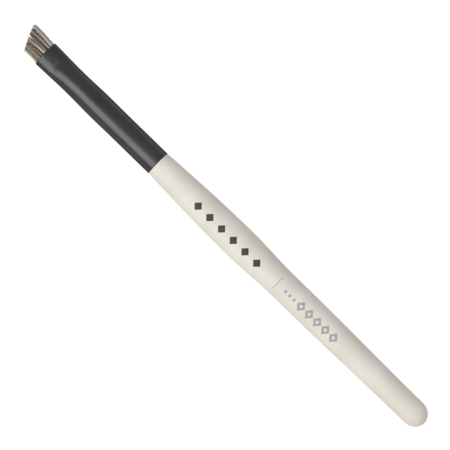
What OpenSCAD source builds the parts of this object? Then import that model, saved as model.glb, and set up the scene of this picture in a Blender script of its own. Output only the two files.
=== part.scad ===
// Slant-cut detail brush: a turned wooden handle, a drawn metal ferrule that is pressed
// flat at its mouth, and a tuft of stiff bristles trimmed on a slant. Millimetres.
//
// The brush lies on a table along X, with its bristles towards +X, the pressed flats facing
// up and down, and the long side of the slanted tuft on the -Y side. The origin is on the
// table, under the middle of the brush.
//
// Every module below builds its piece upright, with the butt of the handle at z = 0, the
// width of the tuft along Y and its thickness along X. lay_down() then lays it on the table.

/* [Handle] */
// Length of the handle that shows behind the ferrule
handle_len = 106.75; // [95:0.25:120]
// Diameter where the handle meets the ferrule
collar_d = 7.8; // [7.5:0.05:7.9]
// Diameter of the belly, where the fingers hold
belly_d = 9.84; // [9:0.02:11]
// Distance from the ferrule back to the belly
belly_at = 32.5; // [24:0.5:36]
// Diameter of the slim shank behind the belly
shank_d = 8.66; // [7.9:0.02:9]
// Distance from the ferrule back to the start of the shank
shank_at = 50.5; // [44:0.5:58]
// Distance from the ferrule back to where the shank starts to thin
taper_at = 56.5; // [56:0.5:70]
// Diameter of the tail, just before the rounded butt
tail_d = 7.72; // [7:0.02:7.9]
// Length of the rounded butt
butt_len = 4.4; // [3.6:0.1:6]

/* [Tenon] */
// Length of the tenon inside the ferrule
tenon_len = 15; // [11:0.5:15.5]
// Thickness of the glue between the tenon and the ferrule
glue_gap = 0.1; // [0.05:0.01:0.2]
// Number of glue grooves round the tenon
groove_count = 3; // [1:1:4]
// Width of a glue groove
groove_w = 1.2; // [0.8:0.1:1.5]
// Depth of a glue groove
groove_depth = 0.3; // [0.2:0.05:0.5]
// Chamfer at the front of the tenon
tenon_chamfer = 0.6; // [0.3:0.1:1]

/* [Ferrule] */
// Length of the ferrule
ferrule_len = 45.25; // [42:0.25:52]
// Wall of the ferrule
ferrule_wall = 0.3; // [0.25:0.05:0.4]
// Diameter of the straight barrel that holds the handle
barrel_d = 7.9; // [7.9:0.05:8.2]
// Length of the straight barrel
barrel_len = 16; // [16:0.5:18]
// Diameter of the shoulder, the widest round place in front of the barrel
shoulder_d = 8.02; // [7.9:0.02:8.4]
// Distance from the back of the ferrule to the shoulder
shoulder_at = 22.5; // [20:0.5:24]
// Width of the neck behind the mouth
neck_w = 7.66; // [7.4:0.02:7.9]
// Distance from the back of the ferrule to the neck
neck_at = 33.5; // [32:0.5:35]
// Width of the pressed mouth
mouth_w = 8.1; // [7.7:0.05:8.4]
// Thickness of the pressed mouth
mouth_t = 5.2; // [4.8:0.05:5.6]
// Squareness of the pressed mouth: 2 is an ellipse, and more has flatter faces
mouth_square = 2.25; // [2:0.05:3]
// Length of the parallel flats at the mouth
flat_len = 4.9; // [4:0.1:6]
// Length over which the round tube is pressed down to the flats
pinch_len = 12; // [11:0.5:13]
// Depth of the crease that the press leaves where each flat ends
crease_depth = 0.1; // [0.05:0.01:0.15]
// Length over which the crease runs out on the flat
crease_len = 0.6; // [0.3:0.05:0.8]
// Length over which the crease runs out behind the flat
crease_back = 1.6; // [1:0.1:2.5]
// Width of the crease across the flat
crease_w = 5.2; // [3:0.1:6]
// Rounding of the lip round the mouth
lip_r = 0.22; // [0.1:0.01:0.24]

/* [Tuft] */
// Reach of the bristles past the mouth on the long side
tuft_long = 8; // [6.5:0.1:12]
// Reach of the bristles past the mouth on the short side
tuft_short = 4.8; // [3.5:0.1:6]
// Length of the bristles hidden in the ferrule
root_len = 12.5; // [12:0.1:13]
// Diameter of a bristle at its root
bristle_d = 0.28; // [0.26:0.01:0.36]
// Diameter of a bristle at the trimmed tip
bristle_tip_d = 0.22; // [0.14:0.01:0.23]
// Gap between neighbouring bristles at their roots
bristle_gap = 0.04; // [0.04:0.01:0.12]
// Gap between the outermost bristles and the ferrule at the mouth
mouth_gap = 0.06; // [0.05:0.01:0.2]
// Number of locks that the bristles gather into
lock_count = 5; // [3:1:7]
// Width of a gathered lock at its tip, as a share of its room
lock_gather = 0.86; // [0.8:0.01:1]
// Depth of the notches between the tips of the locks
lock_notch = 0.4; // [0.1:0.05:0.8]
// Length of the separate tips in front of the packed core
free_tip = 1.6; // [1.2:0.1:2.4]

/* [Root setting] */
// Thickness of the bundle of roots
root_t = 4.5; // [4.2:0.1:5]
// Diameter of the binding thread
thread_d = 0.25; // [0.2:0.01:0.3]
// Turns of the binding thread
thread_turns = 2.5; // [1.5:0.5:2.5]
// Distance between turns of the thread
thread_pitch = 0.7; // [0.66:0.01:0.7]
// Least thickness of epoxy round the bound roots
epoxy_skin = 0.2; // [0.15:0.01:0.25]
// Depth of the roots in the epoxy
pocket_len = 2.2; // [2.1:0.1:2.4]
// Epoxy behind the roots
epoxy_back = 3.5; // [2.5:0.1:5]

/* [Hidden] */

handle_colour = [0.89, 0.87, 0.83];
ferrule_colour = [0.16, 0.16, 0.17];
glue_colour = [0.85, 0.78, 0.6];
epoxy_colour = [0.75, 0.62, 0.35];
thread_colour = [0.9, 0.88, 0.82];
core_colour = [0.3, 0.25, 0.22];
dark_colour = [0.33, 0.27, 0.23];
mid_colour = [0.52, 0.45, 0.39];
pale_colour = [0.8, 0.76, 0.69];

fit_gap = 0.02;        // clearance between the epoxy and the pressed ferrule
wrap_gap = 0.05;       // clearance on each side of the binding thread
core_gap = 0.03;       // clearance between the packed core and the bristles round it
round_fn = 96;         // sides of a circle, where circles are drawn with sides
bristle_fn = 16;       // the same for a bristle
profile_step = 2.5;    // spacing of the points along the handle's outline
butt_points = 12;      // points along the rounded butt
ring_points = 40;      // points round a section of the pressed ferrule
ring_step = 1.5;       // spacing of the sections along the pressed ferrule
lap = 1;               // how far the pressed part reaches into the barrel's wall
lap_inset = 0.01;      // how deep it lies under the barrel's surfaces there
crease_steps = 4;      // sections on each side of the crease
lip_steps = 3;         // sections round the lip
outer_rows = 2;        // rows of bristles that stand on each side of the packed core
tip_jitter = 0.03;     // how far a bristle's tip strays from its place in the lock
notch_points = 6;      // points along the tip of one lock
tuft_seed = 12;        // seed of the random numbers for the tips and tones
dark_share = 0.42;     // share of dark bristles in the middle of the tuft
mid_share = 0.32;      // share of middling ones there
edge_paling = 0.45;    // how much of these shares turns pale at the narrow sides
thread_ring = 24;      // points in one turn of the thread
thread_sides = 6;      // sides of the thread
nearly = 0.001;        // allowance for rounding when lengths are compared
past = 0.5;            // how far a tool or an untrimmed bristle runs past a face

overall_len = handle_len + ferrule_len + tuft_long;
axis_height = belly_d / 2;
joint_z = handle_len;
mouth_z = joint_z + ferrule_len;
root_z = mouth_z - root_len;
flat_at = ferrule_len - flat_len;
pinch_at = flat_at - pinch_len;
bore_d = barrel_d - 2 * ferrule_wall;
tenon_d = bore_d - 2 * glue_gap;

// A smooth step from a to b as t goes from 0 to 1.
function ease(a, b, t) = a + (b - a) * (1 - cos(180 * t)) / 2;
function clamp(t) = max(0, min(1, t));

module lay_down() {
    translate([-overall_len / 2, 0, axis_height]) rotate([0, 90, 0]) children();
}

// ---------------------------------------------------------------- handle

// Diameter of the handle at the distance u behind the ferrule, up to the rounded butt.
function handle_d(u) =
    u < belly_at ? collar_d + (belly_d - collar_d) * sin(90 * u / belly_at)
    : u < shank_at ? ease(belly_d, shank_d, (u - belly_at) / (shank_at - belly_at))
    : u < taper_at ? shank_d
    : ease(shank_d, tail_d, (u - taper_at) / (handle_len - butt_len - taper_at));

// Outline of the tenon, with its glue grooves, from the shoulder up to the axis.
tenon_top = joint_z + tenon_len;
groove_room = tenon_len / (groove_count + 1);
tenon_outline = concat(
    [[tenon_d / 2, joint_z]],
    [for (i = [1:groove_count])
        let (middle = joint_z + i * groove_room)
        for (corner = [[0, -1], [-1, -1], [-1, 1], [0, 1]])
            [tenon_d / 2 + corner[0] * groove_depth, middle + corner[1] * groove_w / 2]],
    [[tenon_d / 2, tenon_top - tenon_chamfer],
     [tenon_d / 2 - tenon_chamfer, tenon_top],
     [0, tenon_top]]
);

module handle() {
    butt = [for (i = [0:butt_points - 1])
        let (a = 90 * i / butt_points) [tail_d / 2 * sin(a), butt_len * (1 - cos(a))]];
    steps = ceil((handle_len - butt_len) / profile_step);
    body = [for (i = [0:steps])
        let (z = butt_len + i / steps * (handle_len - butt_len)) [handle_d(joint_z - z) / 2, z]];
    color(handle_colour)
    rotate_extrude($fn = round_fn) polygon(concat(butt, body, tenon_outline));
}

// The glue fills the gap between tenon and barrel, and the grooves.
module tenon_glue() {
    color(glue_colour)
    difference() {
        translate([0, 0, joint_z])
        cylinder(d = bore_d, h = tenon_len - tenon_chamfer, $fn = round_fn);
        rotate_extrude($fn = round_fn)
        polygon(concat([[0, joint_z - past], [tenon_d / 2, joint_z - past]], tenon_outline));
    }
}

// ---------------------------------------------------------------- ferrule

// Outside width and thickness of the ferrule at the distance v from its back end. Behind
// the flats it swells back to the round tube, steeply at first: pressed_share is 1 along the
// flats and 0 where the tube is round.
function ferrule_w(v) =
    v < barrel_len ? barrel_d
    : v < shoulder_at ? ease(barrel_d, shoulder_d, (v - barrel_len) / (shoulder_at - barrel_len))
    : v < neck_at ? ease(shoulder_d, neck_w, (v - shoulder_at) / (neck_at - shoulder_at))
    : ease(neck_w, mouth_w, clamp((v - neck_at) / (ferrule_len - neck_at)));

function pressed_share(v) = pow(clamp((v - pinch_at) / pinch_len), 2);
function ferrule_t(v) = ferrule_w(v) + (mouth_t - ferrule_w(v)) * pressed_share(v);

// How deep the crease is at v, at the distance y from the middle of the flat. It is deepest
// at the end of the flat, and runs out in front, behind and to each side.
function crease_at(v, y) =
    let (behind = ease(0, 1, clamp(1 - (flat_at - v) / crease_back)),
         front = ease(0, 1, clamp((v - flat_at) / crease_len)))
    crease_depth * (behind - front) * pow(max(0, 1 - pow(2 * y / crease_w, 2)), 2);

// One section of the ferrule: a circle at the barrel, and a squared oval at the mouth. The
// crease is coined into the outer face alone, so the bore stays smooth.
function ferrule_ring(v, inset, coined = false) =
    let (w = ferrule_w(v) - 2 * inset, t = ferrule_t(v) - 2 * inset,
         power = 2 / (2 + (mouth_square - 2) * pressed_share(v)))
    [for (i = [0:ring_points - 1])
        let (a = (i + 0.5) * 360 / ring_points,
             y = sign(cos(a)) * w / 2 * pow(abs(cos(a)), power),
             x = sign(sin(a)) * (t / 2 * pow(abs(sin(a)), power) - (coined ? crease_at(v, y) : 0)))
        [x, y, joint_z + v]];

// Joins rings of points into a closed surface: a tube whose last ring meets its first,
// or a solid with both ends capped.
module skin(rings, tube) {
    n = len(rings[0]);
    m = len(rings);
    spans = tube ? m : m - 1;
    sides = [for (k = [0:spans - 1], i = [0:n - 1])
        let (a = k * n + i, b = k * n + (i + 1) % n,
             c = ((k + 1) % m) * n + i, d = ((k + 1) % m) * n + (i + 1) % n)
        for (f = [[a, b, d], [a, d, c]]) f];
    caps = tube ? [] : [[for (i = [n - 1:-1:0]) i], [for (i = [0:n - 1]) (m - 1) * n + i]];
    polyhedron(points = [for (r = rings, p = r) p], faces = concat(sides, caps));
}

module ferrule() {
    crease_from = flat_at - crease_back;
    steps = ceil((crease_from - barrel_len) / ring_step);
    stations = concat(
        [for (i = [0:steps]) barrel_len + i * (crease_from - barrel_len) / steps],
        [for (i = [1:crease_steps]) crease_from + i / crease_steps * crease_back],
        [for (i = [1:crease_steps]) flat_at + i / crease_steps * crease_len],
        [ferrule_len - flat_len / 3, ferrule_len - lip_r]
    );
    // The inner rings are drawn wide enough for the middles of their sides to clear the bore.
    side_sag = bore_d / 2 * (1 / cos(180 / ring_points) - 1);
    bore_inset = ferrule_wall - side_sag - lap_inset;
    outer = [for (v = stations) ferrule_ring(v, lap_inset, coined = true)];
    lip = [for (i = [1:lip_steps])
        let (a = 90 * i / lip_steps)
        ferrule_ring(ferrule_len - lip_r * (1 - sin(a)), lip_r * (1 - cos(a)))];
    inner = [for (i = [len(stations) - 1:-1:0]) if (i % 2 == 0)
        ferrule_ring(stations[i], bore_inset)];
    color(ferrule_colour) {
        translate([0, 0, joint_z])
        difference() {
            cylinder(d = barrel_d, h = barrel_len, $fn = round_fn);
            translate([0, 0, -past]) cylinder(d = bore_d, h = barrel_len + 2 * past, $fn = round_fn);
        }
        skin(concat(
            [ferrule_ring(barrel_len - lap, lap_inset)],
            outer, lip,
            [ferrule_ring(ferrule_len, bore_inset)],
            inner,
            [ferrule_ring(barrel_len - lap, bore_inset)]
        ), tube = true);
    }
}

// ---------------------------------------------------------------- root setting

// The roots stand in a pocket in the epoxy, as wide as the ferrule lets it be there.
pocket_v = [for (i = [0:4]) ferrule_len - root_len + i / 4 * pocket_len];
wrap = thread_d + 2 * wrap_gap;
pocket_w = min([for (v = pocket_v) ferrule_w(v)]) - 2 * (ferrule_wall + epoxy_skin);
pocket_t = root_t + 2 * wrap;
root_w = pocket_w - 2 * wrap;

// A stadium outline of width w along Y and thickness t along X, drawn with true arcs.
module stadium(w, t) {
    square([t, w - t], center = true);
    for (side = [-1, 1]) translate([0, side * (w - t) / 2]) circle(d = t, $fn = round_fn);
}

module epoxy_plug() {
    back_v = ferrule_len - root_len - epoxy_back;
    front_v = ferrule_len - root_len + pocket_len;
    steps = ceil((front_v - back_v) / ring_step);
    color(epoxy_colour)
    difference() {
        skin([for (i = [0:steps])
            ferrule_ring(back_v + i * (front_v - back_v) / steps, ferrule_wall + fit_gap)],
            tube = false);
        translate([0, 0, root_z])
        linear_extrude(height = pocket_len + past) stadium(pocket_w, pocket_t);
    }
}

// One strand wound round the roots in a rising stadium, with a free end at each side.
module binding_thread() {
    r = root_t / 2 + wrap_gap + thread_d / 2;
    flat = (root_w - root_t) / 2;
    count = round(thread_turns * thread_ring);
    low = root_z + (pocket_len - thread_turns * thread_pitch) / 2;
    path = [for (i = [0:count])
        let (a = (i + 0.5) * 360 / thread_ring)
        [r * sin(a), sign(cos(a)) * flat + r * cos(a), low + i * thread_pitch / thread_ring]];
    function unit(p) = p / norm(p);
    function way(i) = unit(path[min(count, i + 1)] - path[max(0, i - 1)]);
    rings = [for (i = [0:count])
        let (out = unit(cross(way(i), [0, 0, 1])), up = cross(out, way(i)))
        [for (j = [0:thread_sides - 1])
            let (a = j * 360 / thread_sides)
            path[i] + thread_d / 2 * (out * cos(a) + up * sin(a))]];
    echo(least_gap_between_turns_of_thread = thread_pitch - thread_d);
    color(thread_colour) skin(rings, tube = false);
}

// ---------------------------------------------------------------- tuft

// Half sizes of the tuft, to the middles of its outermost bristles, at its root and mouth.
half_root = [root_t, root_w] / 2 - [bristle_d, bristle_d] / 2;
half_mouth = [mouth_t, mouth_w] / 2
    - [1, 1] * (ferrule_wall + mouth_gap + bristle_d / 2);
// The bristles run straight, so their spread at the mouth goes on to the longest tip.
reach = (root_len + tuft_long + past) / root_len;
spread = [for (k = [0, 1]) 1 + (half_mouth[k] / half_root[k] - 1) * reach];
end_z = root_z + root_len * reach;
pitch = bristle_d + bristle_gap;
row = pitch * sin(60);
lock_w = 2 * half_root[1] / lock_count;

// Is the place [x, y] inside the bundle of roots? The thread binds them to a stadium, and
// they spread from it into the squared oval of the mouth.
function in_tuft(x, y) =
    let (over = max(0, abs(y) - (half_root[1] - half_root[0])))
    norm([x, over]) <= half_root[0]
    && pow(abs(x) / half_root[0], mouth_square) + pow(abs(y) / half_root[1], mouth_square) <= 1;

// Where a bristle rooted at [x, y] would end if nothing trimmed it.
function tip_of(x, y) =
    let (k = min(lock_count - 1, floor((y + half_root[1]) / lock_w)),
         middle = -half_root[1] + (k + 0.5) * lock_w)
    [x * spread[0], (middle + (y - middle) * lock_gather) * spread[1]];

// Roots on a close-packed grid: [x, y, random numbers for tip and tone].
rows = floor(half_root[0] / row);
columns = floor(half_root[1] / pitch);
grid = [for (i = [-rows:rows], j = [-columns:columns + 1])
    let (x = i * row, y = (j - (i % 2 == 0 ? 0 : 0.5)) * pitch)
    if (in_tuft(x, y)) [x, y]];
chance = rands(0, 1, 3 * len(grid), tuft_seed);

// Bristles outside this half size run their full length. The others stand on the core,
// which keeps clear of the first of the outer ones, at its root and at its tip.
core_room = [(rows - outer_rows + 1) * row, (columns - outer_rows + 1) * pitch];
core_half = core_room - [1, 1] * (bristle_d / 2 + core_gap);
core_top_half = tip_of(core_room[0], core_room[1])
    - [1, 1] * (bristle_tip_d / 2 + tip_jitter + core_gap);
function in_core(p) = max(abs(p[0]) - core_room[0], abs(p[1]) - core_room[1]) < -nearly;

// 0 is dark, 1 is middling and 2 is pale. The two narrow sides of the tuft are paler.
function tone(i) =
    let (edge = abs(grid[i][1]) / half_root[1],
         luck = chance[3 * i + 2] + edge_paling * pow(edge, 3))
    luck < dark_share ? 0 : luck < dark_share + mid_share ? 1 : 2;

module bristle(i) {
    root = [grid[i][0], grid[i][1], root_z - past];
    stray = tip_jitter * [2 * chance[3 * i] - 1, 2 * chance[3 * i + 1] - 1];
    tip = concat(tip_of(grid[i][0], grid[i][1]) + stray, [end_z]);
    run = tip - root;
    translate(root)
    rotate([0, acos(run[2] / norm(run)), atan2(run[1], run[0])])
    cylinder(d1 = bristle_d, d2 = bristle_tip_d, h = norm(run), $fn = bristle_fn);
}

// Half width of the tuft at its tips, and the height of the slanted trim at the width y.
trim_half = tip_of(0, half_root[1])[1] + bristle_tip_d / 2;
function trim_z(y) =
    mouth_z + (tuft_long + tuft_short) / 2 - (tuft_long - tuft_short) / 2 * y / trim_half;

// How far the notches between the locks cut into the trim. The outer halves of the two
// outermost locks aren't notched.
function notch(y) =
    let (room = 2 * trim_half / lock_count,
         inside = max(-trim_half + room / 2, min(trim_half - room / 2, y)),
         share = (inside + trim_half) / room)
    lock_notch * pow(2 * (share - floor(share)) - 1, 2);

// Outlines across the width, for cutting: a low edge, and the trim above it.
side = 1.5 * mouth_w;
lock_tips = [for (i = [lock_count * notch_points - 1:-1:1])
    let (y = trim_half * (2 * i / (lock_count * notch_points) - 1)) [y, trim_z(y) - notch(y)]];
trim_edge = concat([[side, trim_z(side)]], lock_tips, [[-side, trim_z(-side)]]);
core_edge = [[side, trim_z(side) - free_tip], [-side, trim_z(-side) - free_tip]];
root_edge = [[-side, root_z], [side, root_z]];

module cut_between(low_edge, high_edge) {
    intersection() {
        children();
        rotate([90, 0, 90])
        linear_extrude(height = 2 * mouth_w, center = true)
        polygon(concat(low_edge, high_edge));
    }
}

module bristles(wanted) {
    cut_between(root_edge, trim_edge)
    union() for (i = [0:len(grid) - 1])
        if (tone(i) == wanted && !in_core(grid[i])) bristle(i);

    cut_between([core_edge[1], core_edge[0]], trim_edge)
    union() for (i = [0:len(grid) - 1])
        if (tone(i) == wanted && in_core(grid[i])) bristle(i);
}

// The hairs in the middle of the tuft lie so close that they are one solid, up to where
// their tips stand free.
module tuft_core() {
    corners = [[-1, -1], [-1, 1], [1, 1], [1, -1]];
    color(core_colour)
    cut_between(root_edge, core_edge)
    skin([for (end = [[core_half, root_z - past], [core_top_half, end_z]])
        [for (c = corners) [c[0] * end[0][0], c[1] * end[0][1], end[1]]]], tube = false);
}

module dark_bristles() { color(dark_colour) bristles(0); }
module mid_bristles() { color(mid_colour) bristles(1); }
module pale_bristles() { color(pale_colour) bristles(2); }

lay_down() handle();
lay_down() ferrule();
lay_down() tenon_glue();
lay_down() epoxy_plug();
lay_down() binding_thread();
lay_down() tuft_core();
lay_down() dark_bristles();
lay_down() mid_bristles();
lay_down() pale_bristles();
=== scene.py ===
# %% [markdown]
# # A slant-cut detail brush
#
# The brush has three things to look at: a turned and lacquered wooden handle, a black metal
# ferrule that is pressed flat at its mouth, and a tuft of stiff bristles trimmed on a slant.
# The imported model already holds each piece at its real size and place, so this script only
# dresses it. Everything below is in metres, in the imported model's own frame: the brush lies
# along X with its tuft towards +X, and Z is up.

import math

import bmesh
import bpy
from mathutils import Matrix, Vector


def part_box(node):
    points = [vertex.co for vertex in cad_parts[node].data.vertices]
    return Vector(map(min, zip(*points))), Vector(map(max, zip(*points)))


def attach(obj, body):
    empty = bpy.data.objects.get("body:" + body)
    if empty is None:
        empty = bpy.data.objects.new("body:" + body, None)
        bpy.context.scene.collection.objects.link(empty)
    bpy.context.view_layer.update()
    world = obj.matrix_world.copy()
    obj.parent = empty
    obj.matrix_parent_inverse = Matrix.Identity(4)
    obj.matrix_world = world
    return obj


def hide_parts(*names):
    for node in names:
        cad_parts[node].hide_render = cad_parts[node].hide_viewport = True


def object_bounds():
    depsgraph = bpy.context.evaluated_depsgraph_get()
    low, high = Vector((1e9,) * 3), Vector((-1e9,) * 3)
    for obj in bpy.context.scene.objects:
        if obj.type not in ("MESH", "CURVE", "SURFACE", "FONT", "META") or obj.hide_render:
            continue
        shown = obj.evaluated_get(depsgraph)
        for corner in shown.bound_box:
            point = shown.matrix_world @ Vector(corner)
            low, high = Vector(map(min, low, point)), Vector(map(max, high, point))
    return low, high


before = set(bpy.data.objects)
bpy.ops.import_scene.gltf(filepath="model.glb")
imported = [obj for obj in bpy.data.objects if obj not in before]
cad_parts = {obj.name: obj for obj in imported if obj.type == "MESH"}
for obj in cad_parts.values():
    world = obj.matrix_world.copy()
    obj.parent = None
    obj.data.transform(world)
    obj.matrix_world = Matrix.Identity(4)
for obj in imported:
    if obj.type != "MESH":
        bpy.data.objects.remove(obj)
cad_low, cad_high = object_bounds()
MM = 0.001
print("packed nodes:", ", ".join(sorted(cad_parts)))
print("overall length, mm:", round((cad_high.x - cad_low.x) / MM, 2))

# %% [markdown]
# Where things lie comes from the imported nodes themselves. The handle's back end, the joint
# between handle and ferrule, the ferrule's mouth and the longest bristle give four places
# along X, and the middle of the handle's box gives the height of the brush's axis.

# %% Places along the brush
handle_low, handle_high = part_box("handle")
ferrule_low, ferrule_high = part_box("ferrule")
BUTT_X = handle_low.x
JOINT_X = ferrule_low.x
TENON_X = handle_high.x
MOUTH_X = ferrule_high.x
ROOT_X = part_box("tuft_core")[0].x
TIP_X = cad_high.x
AXIS_Z = (handle_low.z + handle_high.z) / 2
print("butt, joint, mouth, tip, mm:", [round(x / MM, 2) for x in (BUTT_X, JOINT_X, MOUTH_X, TIP_X)])

# %% [markdown]
# Node trees are used for two jobs here: Geometry Nodes grow the bristles and the printed
# ornament, and shader nodes make the finishes. Both are easier to read when a sum on sockets
# looks like a sum. `Wire` wraps one output socket and overloads the operators that are used
# below, with the turned form that lets a number stand first, as in 1 - mask. `Graph.node` is
# the one way in which any other node is added.

# %% Sums on sockets
def math_node(operation, other_first=False):
    """An operator that adds a Math node to the graph of the wire that it works on."""
    def work_out(wire, *others):
        values = (*others, wire) if other_first else (wire, *others)
        return wire.graph.node("ShaderNodeMath", {"operation": operation}, dict(enumerate(values)))

    return work_out


class Wire:
    """One output of a node, so that arithmetic on it can be written as an expression."""

    def __init__(self, graph, socket):
        self.graph = graph
        self.socket = socket

    __add__ = __radd__ = math_node("ADD")
    __mul__ = __rmul__ = math_node("MULTIPLY")
    __sub__ = math_node("SUBTRACT")
    __rsub__ = math_node("SUBTRACT", other_first=True)
    __truediv__ = math_node("DIVIDE")
    __pow__ = math_node("POWER")
    __gt__ = math_node("GREATER_THAN")
    __lt__ = math_node("LESS_THAN")
    __abs__ = math_node("ABSOLUTE")
    low = math_node("MINIMUM")
    high = math_node("MAXIMUM")


class Graph:
    """A node tree, and the one way in which nodes are added to it."""

    def __init__(self, tree):
        self.tree = tree

    def node(self, kind, settings=None, values=None, out=0):
        """Adds a node, sets it up, fills its inputs and gives back one of its outputs."""
        node = self.tree.nodes.new(kind)
        for name, setting in (settings or {}).items():
            setattr(node, name, setting)
        for key, value in (values or {}).items():
            if isinstance(value, Wire):
                self.tree.links.new(value.socket, node.inputs[key])
            else:
                node.inputs[key].default_value = value
        return None if out is None else Wire(self, node.outputs[out])

    def split(self, vector):
        """The three parts of a vector, each as a wire."""
        first = self.node("ShaderNodeSeparateXYZ", values={"Vector": vector})
        return [Wire(self, socket) for socket in first.socket.node.outputs]

    def join(self, x, y, z):
        """A vector from its three parts."""
        return self.node("ShaderNodeCombineXYZ", values={"X": x, "Y": y, "Z": z})

    def blend(self, share, start, end):
        """Runs from start to end as share goes from 0 to 1."""
        ends = {"Factor": share, "A": start, "B": end}
        return self.node("ShaderNodeMix", {"data_type": "FLOAT"}, ends)

    def step(self, value, start, end):
        """A smooth step from 0 to 1 as value goes from start to end."""
        ends = {"Value": value, "From Min": start, "From Max": end}
        return self.node("ShaderNodeMapRange", {"interpolation_type": "SMOOTHSTEP"}, ends)

    def noise_at(self, place, rate=1.0, detail=2.0, out=0):
        """Noise that changes as often as the rate says along each unit of the place."""
        values = {"Vector": place, "Scale": rate, "Detail": detail}
        return self.node("ShaderNodeTexNoise", values=values, out=out)


print("node helpers are ready")

# %% [markdown]
# ## The camera and the light
#
# The brush is seen from straight above with a long lens, lying aslant across the picture. A
# long lens keeps both ends of so slim a thing at the same scale. The scale of the picture, how
# far the brush is turned in it and the pixel that its middle lies on say where the camera goes.

# %% Camera
PICTURE_PX = 450
PX_PER_MM = 3.480
TURN_DEG = 135.74
MIDDLE_PX = (224.86, 228.58)
LENS_MM = 120.0
SENSOR_MM = 36.0

camera_data = bpy.data.cameras.new("camera")
camera_data.lens = LENS_MM
camera_data.sensor_width = SENSOR_MM
camera_data.clip_end = 10.0
camera = bpy.data.objects.new("camera", camera_data)
bpy.context.scene.collection.objects.link(camera)
bpy.context.scene.camera = camera

view_width = PICTURE_PX / PX_PER_MM * MM
camera_height = LENS_MM / SENSOR_MM * view_width
turn = Matrix.Rotation(math.radians(-TURN_DEG), 4, "Z")
right_px = PICTURE_PX / 2 - MIDDLE_PX[0]
up_px = MIDDLE_PX[1] - PICTURE_PX / 2
aim = turn @ (Vector((right_px, up_px, 0)) / PX_PER_MM * MM)
camera.matrix_world = Matrix.Translation(aim + Vector((0, 0, AXIS_Z + camera_height))) @ turn
print("camera height, m:", round(camera_height, 3))

# %% [markdown]
# Two soft boxes light the brush. A large and slightly warm one leans over it on the +Y side, so
# that it draws a single broad highlight along the black ferrule. A small, weak and slightly blue
# one fills from above. The lamps are kept at a level at which a colour renders about as it is
# written.

# %% Lamps
KEY_W = 2.08
KEY_SIZE = (0.54, 0.55)
KEY_DISTANCE = 0.6
KEY_TILT_DEG = 38.5
KEY_X = 0.2
KEY_COLOUR = (1.0, 0.98, 0.94)
FILL_W = 0.26
FILL_SIZE = (0.3, 0.3)
FILL_DISTANCE = 0.7
FILL_X = -0.1
FILL_COLOUR = (0.86, 0.93, 1.0)


def add_lamp(name, watts, size, place, tint):
    """A soft box, with its size along X and across it, that faces the brush's axis."""
    lamp_data = bpy.data.lights.new(name, "AREA")
    lamp_data.shape = "RECTANGLE"
    lamp_data.size, lamp_data.size_y = size
    lamp_data.energy = watts
    lamp_data.color = tint
    lamp = bpy.data.objects.new(name, lamp_data)
    bpy.context.scene.collection.objects.link(lamp)
    facing = (place - Vector((place.x, 0, AXIS_Z))).to_track_quat("Z", "Y").to_matrix().to_4x4()
    lamp.matrix_world = Matrix.Translation(place) @ facing


key_tilt = math.radians(KEY_TILT_DEG)
key_place = Vector((KEY_X, KEY_DISTANCE * math.sin(key_tilt), KEY_DISTANCE * math.cos(key_tilt)))
add_lamp("key_softbox", KEY_W, KEY_SIZE, key_place, KEY_COLOUR)
add_lamp("top_fill", FILL_W, FILL_SIZE, Vector((FILL_X, 0, FILL_DISTANCE)), FILL_COLOUR)
print("lamps:", KEY_W, "W and", FILL_W, "W")

# %% [markdown]
# The floor is a plain pale sheet. Light Path lets it look white without more light on the
# brush: for the camera, and in gloss and glass, the sheet is mostly an even white, with enough
# of its plain diffuse self left to keep the brush's shadow. The world is an even white too, and
# does most of the filling in.

# %% Floor and world
FLOOR_SIZE = 3.0
FLOOR_COLOUR = (0.50, 0.46, 0.38, 1)
FLOOR_WHITE_SHARE = 0.94
FLOOR_WHITE = 1.05
WORLD_COLOUR = (1, 1, 1, 1)
WORLD_STRENGTH = 0.57
SEEN_BY = ("Is Camera Ray", "Is Glossy Ray", "Is Transmission Ray")

floor_material = bpy.data.materials.new("floor_sheet")
floor_material.use_nodes = True
floor_material.node_tree.nodes.clear()
graph = Graph(floor_material.node_tree)
camera_ray, gloss_ray, glass_ray = [graph.node("ShaderNodeLightPath", out=name) for name in SEEN_BY]
seen = (camera_ray + gloss_ray + glass_ray).low(1) * FLOOR_WHITE_SHARE
sheet = graph.node("ShaderNodeBsdfDiffuse", values={"Color": FLOOR_COLOUR})
white = graph.node("ShaderNodeEmission", values={"Strength": FLOOR_WHITE})
mixed = graph.node("ShaderNodeMixShader", values={0: seen, 1: sheet, 2: white})
graph.node("ShaderNodeOutputMaterial", values={"Surface": mixed}, out=None)

floor_mesh = bpy.data.meshes.new("floor")
half = FLOOR_SIZE / 2
floor_mesh.from_pydata(
    [(-half, -half, 0), (half, -half, 0), (half, half, 0), (-half, half, 0)], [], [(0, 1, 2, 3)]
)
floor_mesh.materials.append(floor_material)
floor = bpy.data.objects.new("floor", floor_mesh)
bpy.context.scene.collection.objects.link(floor)

world = bpy.data.worlds.new("studio")
bpy.context.scene.world = world
world.use_nodes = True
background = world.node_tree.nodes["Background"]
background.inputs["Color"].default_value = WORLD_COLOUR
background.inputs["Strength"].default_value = WORLD_STRENGTH
bpy.context.scene.view_settings.view_transform = "Standard"
print("floor and world are ready")

# %% [markdown]
# ## The handle
#
# The real handle is turned from one length of birch: a collar where it meets the ferrule, a
# belly for the fingers, a slim shank and a rounded butt, with a grooved tenon that is glued
# into the ferrule. What a lathe does is what the Screw modifier does: it spins an outline
# round an axis. The outline here is worked out from the same few diameters and distances as
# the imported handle, with more points, so that the belly reads as one smooth swelling.

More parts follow.
